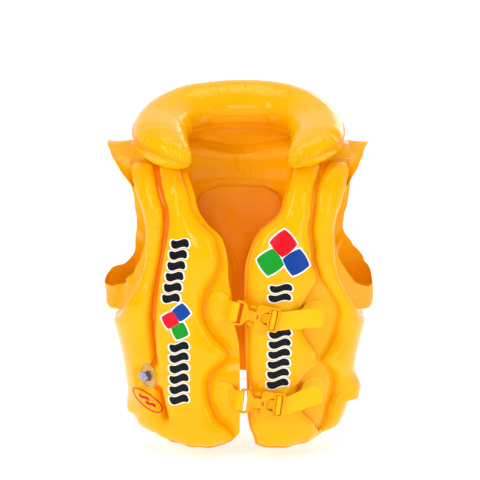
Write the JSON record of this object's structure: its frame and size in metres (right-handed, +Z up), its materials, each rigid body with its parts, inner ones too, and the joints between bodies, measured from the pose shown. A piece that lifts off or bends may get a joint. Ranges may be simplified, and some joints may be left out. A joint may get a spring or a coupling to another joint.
{
  "type": "inflatable life jacket",
  "caption": "Child's inflatable swim vest in glossy vinyl with padded air chambers, a horseshoe head collar, side-release buckles across the front opening and clear air valves.",
  "frame": {"origin": "on the axis of the wearer's torso, level with the lowest edge of the front panels", "axes": "+Z up, -Y the front with the buckles, +X the wearer's left"},
  "size_m": [0.3488, 0.2641, 0.4575],
  "materials": {
    "chamber_film": "gloss",
    "welded_film": "gloss",
    "strap_vinyl": "satin",
    "buckle_plastic": "satin",
    "valve_vinyl": "gloss"
  },
  "bodies": {
    "right_half": {"right_front_outer_chamber": "chamber_film", "right_front_inner_chamber": "chamber_film", "right_back_chamber": "chamber_film", "right_neck_roll": "chamber_film", "right_collar_half": "chamber_film", "right_armhole_hem": "welded_film", "right_shoulder_panel": "welded_film", "right_back_window": "welded_film", "right_back_hem": "welded_film", "right_neckline_hem": "welded_film", "right_buckle_flange": "welded_film", "upper_buckle_receiver": "buckle_plastic", "lower_buckle_receiver": "buckle_plastic", "upper_receiver_tab": "strap_vinyl", "lower_receiver_tab": "strap_vinyl", "front_valve_seat": "valve_vinyl", "collar_valve_seat": "valve_vinyl"},
    "left_half": {"left_front_outer_chamber": "chamber_film", "left_front_inner_chamber": "chamber_film", "left_back_chamber": "chamber_film", "left_neck_roll": "chamber_film", "left_collar_half": "chamber_film", "left_armhole_hem": "welded_film", "left_shoulder_panel": "welded_film", "left_back_window": "welded_film", "left_back_hem": "welded_film", "left_neckline_hem": "welded_film", "upper_pad_panel": "welded_film", "lower_pad_panel": "welded_film", "upper_strap": "strap_vinyl", "lower_strap": "strap_vinyl", "back_valve_seat": "valve_vinyl"},
    "upper_tongue": {"upper_buckle_tongue": "buckle_plastic"},
    "upper_top_arm": {"upper_top_latch_arm": "buckle_plastic"},
    "upper_bottom_arm": {"upper_bottom_latch_arm": "buckle_plastic"},
    "lower_tongue": {"lower_buckle_tongue": "buckle_plastic"},
    "lower_top_arm": {"lower_top_latch_arm": "buckle_plastic"},
    "lower_bottom_arm": {"lower_bottom_latch_arm": "buckle_plastic"},
    "front_valve": {"front_valve_stem": "valve_vinyl", "front_valve_flap": "valve_vinyl"},
    "front_plug": {"front_valve_plug": "valve_vinyl"},
    "back_valve": {"back_valve_stem": "valve_vinyl", "back_valve_flap": "valve_vinyl"},
    "back_plug": {"back_valve_plug": "valve_vinyl"},
    "collar_valve": {"collar_valve_stem": "valve_vinyl", "collar_valve_flap": "valve_vinyl"},
    "collar_plug": {"collar_valve_plug": "valve_vinyl"}
  },
  "joints": [
    {"name": "front_opening", "type": "hinge", "parent": "right_half", "child": "left_half", "pos_m": [0, 0.128, 0.2], "axis": [0, 0, 1], "range_deg": [0, 60], "deforming": ["upper_top_latch_arm", "upper_bottom_latch_arm", "lower_top_latch_arm", "lower_bottom_latch_arm"]},
    {"name": "upper_buckle_pull", "type": "slide", "parent": "left_half", "child": "upper_tongue", "axis": [0.973, 0.0805, -0.2164], "range_m": [0, 0.028], "deforming": ["upper_strap", "upper_top_latch_arm", "upper_bottom_latch_arm"]},
    {"name": "upper_top_arm_squeeze", "type": "hinge", "parent": "upper_tongue", "child": "upper_top_arm", "pos_m": [0.03647, -0.13378, 0.172], "axis": [0.0824, -0.9966, 0], "range_deg": [0, 6], "stiffness_Nm_per_rad": 0.02},
    {"name": "upper_bottom_arm_squeeze", "type": "hinge", "parent": "upper_tongue", "child": "upper_bottom_arm", "pos_m": [0.03233, -0.13412, 0.15325], "axis": [-0.0824, 0.9966, 0], "range_deg": [0, 6], "stiffness_Nm_per_rad": 0.02},
    {"name": "lower_buckle_pull", "type": "slide", "parent": "left_half", "child": "lower_tongue", "axis": [0.9845, 0.1067, -0.1392], "range_m": [0, 0.028], "deforming": ["lower_strap", "lower_top_latch_arm", "lower_bottom_latch_arm"]},
    {"name": "lower_top_arm_squeeze", "type": "hinge", "parent": "lower_tongue", "child": "lower_top_arm", "pos_m": [0.04263, -0.13347, 0.06297], "axis": [0.1077, -0.9942, 0], "range_deg": [0, 6], "stiffness_Nm_per_rad": 0.02},
    {"name": "lower_bottom_arm_squeeze", "type": "hinge", "parent": "lower_tongue", "child": "lower_bottom_arm", "pos_m": [0.03997, -0.13376, 0.04396], "axis": [-0.1077, 0.9942, 0], "range_deg": [0, 6], "stiffness_Nm_per_rad": 0.02},
    {"name": "front_valve_push", "type": "slide", "parent": "right_half", "child": "front_valve", "axis": [0.752, 0.6548, 0.0752], "range_m": [0, 0.0045]},
    {"name": "front_plug_flip", "type": "hinge", "parent": "front_valve", "child": "front_plug", "pos_m": [-0.11704, -0.09581, 0.08077], "axis": [-0.0567, -0.0494, 0.9972], "range_deg": [0, 135]},
    {"name": "back_valve_push", "type": "slide", "parent": "left_half", "child": "back_valve", "axis": [-0.4414, -0.8951, 0.0622], "range_m": [0, 0.0045]},
    {"name": "back_plug_flip", "type": "hinge", "parent": "back_valve", "child": "back_plug", "pos_m": [0.08674, 0.11618, 0.12635], "axis": [0.0275, 0.0558, 0.9981], "range_deg": [0, 135]},
    {"name": "collar_valve_push", "type": "slide", "parent": "right_half", "child": "collar_valve", "axis": [0.2873, -0.9578, 0], "range_m": [0, 0.0045]},
    {"name": "collar_plug_flip", "type": "hinge", "parent": "collar_valve", "child": "collar_plug", "pos_m": [-0.04991, 0.09475, 0.42709], "axis": [0, 0, 1], "range_deg": [0, 135]}
  ],
  "couplings": [
    {"joint": "upper_bottom_arm_squeeze", "follows": "upper_top_arm_squeeze", "ratio": 1},
    {"joint": "lower_bottom_arm_squeeze", "follows": "lower_top_arm_squeeze", "ratio": 1}
  ]
}
